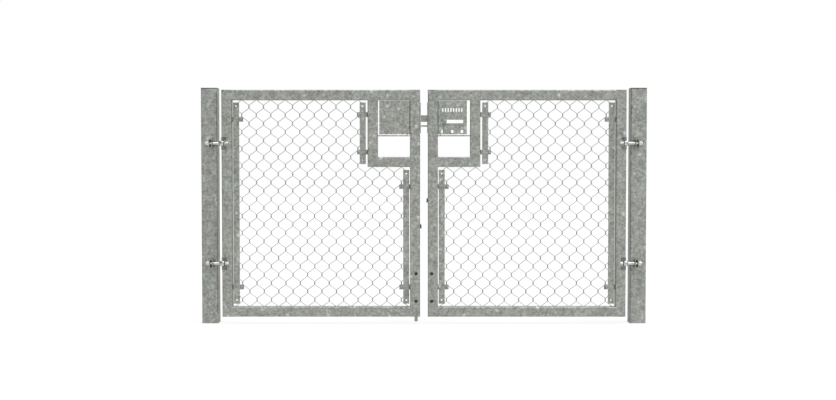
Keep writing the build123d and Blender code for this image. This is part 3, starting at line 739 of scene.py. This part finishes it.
class GATE_OT_welds(bpy.types.Operator):
    """Lay a weld bead round every joint of the leaves and round the hinge brackets"""

    bl_idname = "gate.welds"
    bl_label = "Welds"

    def execute(self, context):
        sizes = context.scene.gate_sizes
        tree = weld_tree()
        east, north, up = Vector((1, 0, 0)), Vector((0, 1, 0)), Vector((0, 0, 1))
        sunk = 2.8 * MM
        into = 1.2 * MM
        half = TUBE / 2 - sunk
        corner = 2.2 * MM
        joints = [(face, rail.z + TUBE / 2) for rail in (RAIL_LOW, FOOT_RAIL_LOW)
                  for face in (MEETING_INNER - into, HINGE_INNER + into)]
        joints += [(face, LOCK_RAIL_LOW.z + TUBE / 2) for face in (MEETING_INNER - into, LOCK_INNER + into)]
        plates = []
        half_plate, half_plate_height, plate_corner = 21 * MM, 35 * MM, 1 * MM
        for seed, (word, side) in enumerate(SIDES):
            loops = [(Vector((at(side, distance), LEAF_MIDDLE, height)), north, up, half, half, corner)
                     for distance, height in joints]
            top_of_lock = Vector((at(side, LOCK_INNER + TUBE / 2), LEAF_MIDDLE, RAIL_LOW.z + into))
            loops.append((top_of_lock, east, north, half, half, corner))
            beads = run_tree(f"{word}_frame_welds", tree, {
                "Bead Width": sizes.weld_width, "Ripple": 0.12, "Seed": float(seed),
                "Finish": finish("hot_dip_galvanised_tube")}, weld_lines("loops", loops))
            give(beads, f"{word}_leaf", "galvanised_tube")
            plates += [(Vector(centre), east, up, half_plate, half_plate_height, plate_corner)
                       for centre, _ in at_hinges(side, BRACKET_MIDDLE, POST_FRONT)]
        beads = run_tree("bracket_welds", tree, {
            "Bead Width": 0.6 * sizes.weld_width, "Ripple": 0.25, "Seed": 2.0,
            "Finish": finish("hot_dip_galvanised_tube")}, weld_lines("loops", plates))
        give(beads, "root", "galvanised_tube")
        return {"FINISHED"}


class GATE_OT_forend_screws(bpy.types.Operator):
    """Fix the forend plates with socket screws"""

    bl_idname = "gate.forend_screws"
    bl_label = "Forend screws"

    def execute(self, context):
        from_end = 6 * MM
        profile = [(0, -1), (4.6, -1), (4.8, 0), (4.3, 0.4), (3.0, 0.65), (2.0, 0.7), (1.8, -0.4), (0, -0.6)]
        for word, side in SIDES:
            shape = from_bmesh("screw", turned(millimetres(profile), 20))
            places = [((at(side, FOREND_FACE), LEAF_MIDDLE, height), (0, -side * math.pi / 2, 0))
                      for height in (FOREND_LOW.z + from_end, FOREND_HIGH.z - from_end)]
            screws = set_out(f"{word}_forend_screws", shape, places, "bright_zinc_plated_steel")
            give(screws, f"{word}_leaf", "zinc_plated")
        return {"FINISHED"}


class GATE_OT_grips(bpy.types.Operator):
    """Mould the bolt's knob, the drop bolts' ribbed handles and the plugs of their guides"""

    bl_idname = "gate.grips"
    bl_label = "Grips and plugs"

    def execute(self, context):
        coat = "black_moulded_plastic"
        mushroom = [(0, 0), (9, 0), (9.5, 1), (10.5, 4), (12.6, 7), (13, 9.5), (12.2, 12.4), (9.6, 14.3),
                    (5.5, 14.9), (0, 15)]
        middle = (KNOB_LOW + KNOB_HIGH) / 2
        knob = set_out("mushroom_knob", from_bmesh("knob", turned(millimetres(mushroom), 36)),
                       [((middle.x, KNOB_HIGH.y, middle.z), (math.pi / 2, 0, 0))], "polished_grey_plastic")
        give(knob, "slide_bolt", "black_plastic", "slide_knob")

        half_height = 11.5
        rib_spacing = 4.2
        profile = [(0, -half_height), (5.6, -half_height), (6.4, -10.7)]
        for rib in range(4):
            low = -9.3 + rib_spacing * rib
            face = 6.5 - 2.5 * (low + half_height) / (2 * half_height)
            profile += [(face, low), (face - 1.1, low + 0.5), (face - 1.2, low + 1.5), (face - 0.2, low + 2)]
        profile += [(4.2, 10.3), (3.4, half_height), (0, half_height)]
        for word, side in SIDES:
            low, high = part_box(f"{word}_drop_handle")
            centre = (low + high) / 2
            back = high.x if side == 1 else low.x
            rings = [[(back - side * depth * grow * MM, centre.y + offset * MM, centre.z + z * grow * MM)
                      for depth, z in profile]
                     for offset, grow in ((-8, 0.9), (-7.1, 1), (7.1, 1), (8, 0.9))]
            handle = from_bmesh(f"{word}_ribbed_handle", lofted(rings))
            handle.data.materials.append(finish(coat))
            give(handle, f"{word}_drop_bolt", "black_plastic", f"{word}_drop_handle")

            dome = [(0, -0.5), (8.2, -0.5), (8.2, 1.4), (7, 2.3), (4, 2.9), (0, 3)]
            plug = from_bmesh("plug", turned(millimetres(dome), 28))
            guide_heights = (77.5 * MM, 214 * MM)
            places = [((at(side, DROP_AXIS), LEAF_FRONT, FOOT_RAIL_LOW.z + height), (math.pi / 2, 0, 0))
                      for height in guide_heights]
            plugs = set_out(f"{word}_guide_plugs", plug, places, coat)
            give(plugs, f"{word}_leaf", "black_plastic")
        return {"FINISHED"}


class GATE_OT_eye_bolts(bpy.types.Operator):
    """Forge the eye bolts of the hinges with their threads"""

    bl_idname = "gate.eye_bolts"
    bl_label = "Eye bolts"

    def execute(self, context):
        sizes = context.scene.gate_sizes
        tree = thread_tree()
        neck = 28 * MM
        plain_tip = 1 * MM
        thread_depth = 0.2 * MM
        ring = [(6.1, -11.6), (7.0, -12.4), (10.0, -12.5), (13.3, -11.6), (15.4, -8.8), (16.3, -4.8),
                (16.5, 0.0)]
        ring += [(r, -h) for r, h in reversed(ring[:-1])]
        ring.append(ring[0])
        shank = [(0, 10), (10.8, 11), (10.4, 14), (9.0, 17), (8.2, 20), (8.0, 24), (7.9, 28.4), (7.2, 29),
                 (0, 29)]
        length = ROD_END - HINGE_AXIS - neck
        end = (length + neck) / MM
        tip = [(0, end - 2), (7.2, end - 1.8), (7.2, end - 1), (6.2, end), (0, end)]
        for word, side in SIDES:
            rod = run_tree("rod", tree, {
                "Length": length - plain_tip, "Radius": ROD_RADIUS, "Pitch": sizes.thread_pitch,
                "Depth": thread_depth, "Finish": finish("bright_zinc_plated_steel")})
            bm = bmesh.new()
            bm.from_mesh(rod.data)
            aim = Matrix.Rotation(side * math.pi / 2, 4, "Y")
            bmesh.ops.transform(bm, matrix=Matrix.Translation((side * neck, 0, 0)) @ aim, verts=bm.verts)
            turned(millimetres(ring), 32, bm=bm)
            for profile in (shank, tip):
                turned(millimetres(profile), 24, aim, bm)
            shape = from_bmesh("eye", bm)
            bpy.data.objects.remove(rod)
            places = at_hinges(side, HINGE_AXIS, LEAF_MIDDLE)
            bolts = set_out(f"{word}_threaded_eye_bolts", shape, places, "bright_zinc_plated_steel")
            give(bolts, "root", "zinc_plated", f"{word}_eye_bolts")
        return {"FINISHED"}


class GATE_OT_hinge_bars(bpy.types.Operator):
    """Weld a lip and a short round bar on the front of each hinge pocket, beside the eye"""

    bl_idname = "gate.hinge_bars"
    bl_label = "Hinge bars"

    def execute(self, context):
        outline = [(0, -11), (4.2, -10.2), (6.6, -8.4), (7.6, -5.4), (7.6, 5.4), (6.6, 8.4), (4.2, 10.2),
                   (0, 11)]
        bar_from_axis = 22 * MM
        bar_sunk = 4 * MM
        bar_rise = 1 * MM
        lip_from_axis = 15.4 * MM
        half_lip, half_lip_height, lip_cut = 3.6 * MM, 13.4 * MM, 0.8 * MM
        along = Matrix.Rotation(math.pi / 2, 4, "Y")
        for word, side in SIDES:
            bar = from_bmesh("bar", turned(millimetres(outline), 24, along))
            places = at_hinges(side, HINGE_AXIS - bar_from_axis, LEAF_FRONT + bar_sunk, rise=bar_rise)
            bars = set_out(f"{word}_hinge_bars", bar, places, "bright_zinc_plated_steel")
            give(bars, f"{word}_leaf", "zinc_plated")
            corners = cut_rectangle(half_lip, half_lip_height, lip_cut)
            lip = from_bmesh("lip", lofted([[(side * u * size, level * MM, v * size) for u, v in corners]
                                            for level, size in ((0, 0.96), (0.5, 1), (2.5, 1))]))
            places = at_hinges(side, HINGE_AXIS - lip_from_axis, LEAF_FRONT)
            lips = set_out(f"{word}_pocket_lips", lip, places, "hot_dip_galvanised_tube")
            give(lips, f"{word}_leaf", "galvanised_tube")
        return {"FINISHED"}


class GATE_OT_hinge_nuts(bpy.types.Operator):
    """Put a chamfered hexagon nut on each eye bolt"""

    bl_idname = "gate.hinge_nuts"
    bl_label = "Hinge nuts"

    def execute(self, context):
        half_flats = 12 * MM
        thickness = 13 * MM
        chamfer = 1.6 * MM
        countersink = 0.6 * MM
        hole = ROD_RADIUS - 0.3 * MM
        tightened = math.radians(12)
        sixth = math.pi / 3
        angles = [math.radians(7.5 * i) for i in range(48)]
        edges = ((0, chamfer), (0.9 * chamfer, 0), (thickness - 0.9 * chamfer, 0), (thickness, chamfer))
        for word, side in SIDES:
            rings = []
            for level, cut in edges:
                limit = half_flats / math.cos(sixth / 2) - 1.4 * cut - 0.1 * MM
                reach = [min(half_flats / math.cos((a + sixth / 2) % sixth - sixth / 2), limit)
                         for a in angles]
                rings.append([(side * level, r * math.cos(a), r * math.sin(a))
                              for r, a in zip(reach, angles)])
            for level in (thickness - countersink, 0):
                rings.append([(side * level, hole * math.cos(a), hole * math.sin(a)) for a in angles])
            shape = from_bmesh("nut", lofted(rings, closed=True))
            places = at_hinges(side, NUT_SEAT, LEAF_MIDDLE, (tightened, 0, 0))
            nuts = set_out(f"{word}_hexagon_nuts", shape, places, "bright_zinc_plated_steel")
            give(nuts, "root", "zinc_plated", f"{word}_hinge_nuts")
        return {"FINISHED"}


class GATE_OT_stage(bpy.types.Operator):
    """Set up the pale floor, the soft light and the camera of the photograph"""

    bl_idname = "gate.stage"
    bl_label = "Studio"

    def execute(self, context):
        studio = context.scene.gate_studio
        scene = context.scene
        mesh = bpy.data.meshes.new("floor")
        reach = 40.0
        corners = ((-1, -1), (1, -1), (1, 1), (-1, 1))
        mesh.from_pydata([(reach * x, reach * y, 0) for x, y in corners], [], [(0, 1, 2, 3)])
        floor = mesh_object("floor", mesh)
        material = bpy.data.materials.new("pale_studio_floor")
        material.use_nodes = True
        tree = material.node_tree
        tree.nodes.clear()
        matt = add_node(tree, "ShaderNodeBsdfDiffuse", inputs={"Color": (*linear("#e6e6e6"), 1.0)})
        glow = add_node(tree, "ShaderNodeEmission", inputs={"Color": (1, 1, 1, 1), "Strength": 1.0})
        path = add_node(tree, "ShaderNodeLightPath").outputs
        glow_share = 0.85
        share = ("MULTIPLY", ("MAXIMUM", path["Is Camera Ray"], path["Is Glossy Ray"]), glow_share)
        mix = add_node(tree, "ShaderNodeMixShader", inputs={0: share, 1: matt.outputs[0], 2: glow.outputs[0]})
        add_node(tree, "ShaderNodeOutputMaterial", inputs={"Surface": mix.outputs[0]})
        mesh.materials.append(material)

        world = bpy.data.worlds.new("studio")
        scene.world = world
        world.use_nodes = True
        tree = world.node_tree
        tree.nodes.clear()
        path = add_node(tree, "ShaderNodeLightPath").outputs
        seen = ("MAXIMUM", path["Is Camera Ray"], path["Is Transmission Ray"])
        way = add_node(tree, "ShaderNodeSeparateXYZ", inputs={
            0: add_node(tree, "ShaderNodeTexCoord").outputs["Generated"]}).outputs
        overhead = ("MULTIPLY", ("MAXIMUM", way["Z"], 0.0), studio.ceiling)
        sideways = ("MULTIPLY", way["X"], ("ABSOLUTE", way["X"]))
        aside = ("MAXIMUM", ("MULTIPLY", sideways, studio.right_side),
                 ("MULTIPLY", sideways, -studio.left_side))
        darkest = 0.05
        room = ("ADD", ("MAXIMUM", ("SUBTRACT", studio.room, aside), darkest), overhead)
        backdrop = ("MULTIPLY", ("MULTIPLY", ("MAXIMUM", way["Y"], 0.0), 1 - studio.room),
                    path["Is Glossy Ray"])
        strength = add_node(tree, "ShaderNodeMix", inputs={
            "Factor": seen, "A": ("ADD", room, backdrop), "B": 1.0}).outputs[0]
        sky = add_node(tree, "ShaderNodeBackground", inputs={"Color": (1, 1, 1, 1), "Strength": strength})
        add_node(tree, "ShaderNodeOutputWorld", inputs={"Surface": sky.outputs[0]})

        lights = (("key", studio.key, 50, (0.5, -0.35, 0.79)),
                  ("window", studio.window, 14, (-0.17, -0.45, 0.87)))
        for name, strength, angle, way in lights:
            lamp = bpy.data.lights.new(name, "SUN")
            lamp.energy = strength
            lamp.angle = math.radians(angle)
            light = bpy.data.objects.new(name, lamp)
            light.rotation_euler = Vector(way).to_track_quat("Z", "Y").to_euler()
            scene.collection.objects.link(light)

        picture_width, pixels_left, pixels_up = 836, 5.95, 19.65
        distance, eye_level, tilt = 6.53, 0.762, 2.15
        data = bpy.data.cameras.new("camera")
        data.lens = studio.focal_length
        data.sensor_width = 36
        data.shift_x = -pixels_left / picture_width
        data.shift_y = pixels_up / picture_width
        data.clip_end = 200
        camera = bpy.data.objects.new("camera", data)
        camera.location = (GATE_MIDDLE, POST_FRONT - distance, eye_level)
        camera.rotation_euler = (math.radians(90 - tilt), 0, 0)
        scene.collection.objects.link(camera)
        scene.camera = camera
        scene.view_settings.view_transform = "Standard"
        return {"FINISHED"}


OPERATORS = (GATE_OT_finishes, GATE_OT_woven_panels, GATE_OT_bar_clamps, GATE_OT_welds,
             GATE_OT_forend_screws, GATE_OT_grips, GATE_OT_eye_bolts, GATE_OT_hinge_nuts,
             GATE_OT_hinge_bars, GATE_OT_stage)


class GATE_PT_panel(bpy.types.Panel):
    """Lists the gate's pieces in the sidebar"""

    bl_idname = "GATE_PT_panel"
    bl_label = "Chain Link Gate"
    bl_space_type = "VIEW_3D"
    bl_region_type = "UI"
    bl_category = "Gate"

    def draw(self, context):
        for group in (context.scene.gate_sizes, context.scene.gate_colours, context.scene.gate_studio):
            for name in group.__annotations__:
                self.layout.prop(group, name)
        for operator in OPERATORS:
            self.layout.operator(operator.bl_idname)


GROUPS = (("gate_sizes", GateSizes), ("gate_colours", GateColours), ("gate_studio", StudioSettings))


def register():
    for name, group in GROUPS:
        bpy.utils.register_class(group)
        setattr(bpy.types.Scene, name, bpy.props.PointerProperty(type=group))
    for operator in OPERATORS:
        bpy.utils.register_class(operator)
    bpy.utils.register_class(GATE_PT_panel)


def unregister():
    bpy.utils.unregister_class(GATE_PT_panel)
    for operator in reversed(OPERATORS):
        bpy.utils.unregister_class(operator)
    for name, group in reversed(GROUPS):
        delattr(bpy.types.Scene, name)
        bpy.utils.unregister_class(group)


def main():
    """Makes every piece in order."""
    register()
    for operator in OPERATORS:
        group, name = operator.bl_idname.split(".")
        getattr(getattr(bpy.ops, group), name)()


if __name__ == "__main__":
    main()
